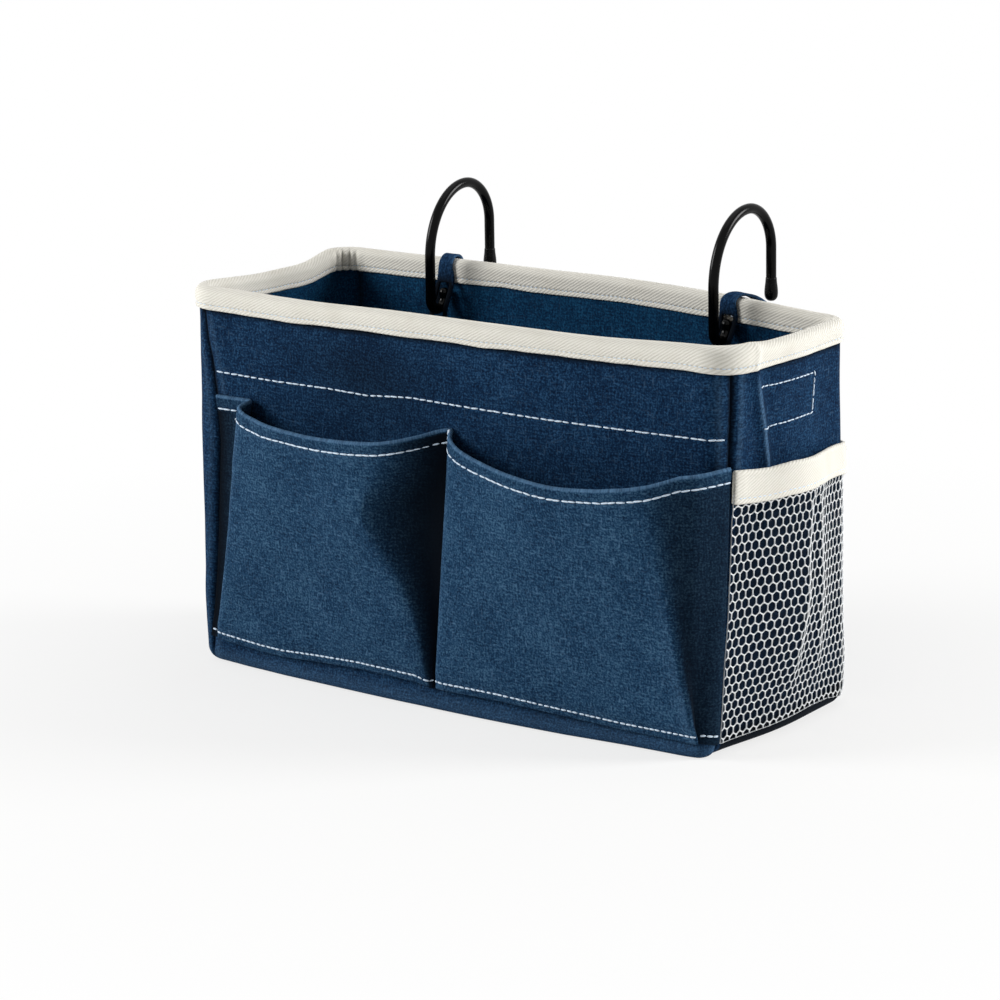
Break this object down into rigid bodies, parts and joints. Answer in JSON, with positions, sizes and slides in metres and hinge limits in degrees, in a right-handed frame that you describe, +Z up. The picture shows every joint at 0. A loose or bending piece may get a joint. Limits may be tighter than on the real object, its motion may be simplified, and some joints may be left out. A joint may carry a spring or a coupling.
{
  "type": "bedside caddy",
  "caption": "Soft box caddy with a taped rim, pleated front pockets, a net side pocket and swinging wire hooks that hang it over a bed rail.",
  "frame": {"origin": "on the underside of the base panel, at the middle of the base rectangle", "axes": "+X along the front to the net pocket, -Y out of the front pockets, +Y to the hooked back, +Z up"},
  "size_m": [0.3145, 0.1689, 0.2235],
  "materials": {
    "navy_cloth": "matt woven cloth with white topstitching",
    "navy_lining": "matt woven cloth",
    "stiffener_board": "plain board, hidden between the cloths",
    "twill_tape": "off-white twill tape",
    "white_net": "white honeycomb net",
    "hook_wire": "gloss black coating on steel wire",
    "hook_tip": "black dipped cap"
  },
  "bodies": {
    "bag": {"front_panel": "navy_cloth", "back_panel": "navy_cloth", "left_side_panel": "navy_cloth", "right_side_panel": "navy_cloth", "base_panel": "navy_cloth", "front_pocket_left": "navy_cloth", "front_pocket_right": "navy_cloth", "left_hook_loop": "navy_cloth", "right_hook_loop": "navy_cloth", "front_board": "stiffener_board", "back_board": "stiffener_board", "left_board": "stiffener_board", "right_board": "stiffener_board", "base_board": "stiffener_board", "front_lining": "navy_lining", "back_lining": "navy_lining", "left_lining": "navy_lining", "right_lining": "navy_lining", "base_lining": "navy_lining", "rim_binding": "twill_tape", "mesh_pocket_binding": "twill_tape", "mesh_pocket": "white_net"},
    "left_hook": {"left_hook": "hook_wire", "left_hook_tip": "hook_tip"},
    "right_hook": {"right_hook": "hook_wire", "right_hook_tip": "hook_tip"}
  },
  "joints": [
    {"name": "left_hook_swing", "type": "hinge", "parent": "bag", "child": "left_hook", "pos_m": [-0.08048, 0.04388, 0.16481], "axis": [1, 0, 0], "range_deg": [-30, 100]},
    {"name": "right_hook_swing", "type": "hinge", "parent": "bag", "child": "right_hook", "pos_m": [0.08652, 0.03805, 0.16868], "axis": [1, 0, 0], "range_deg": [-30, 100]}
  ]
}
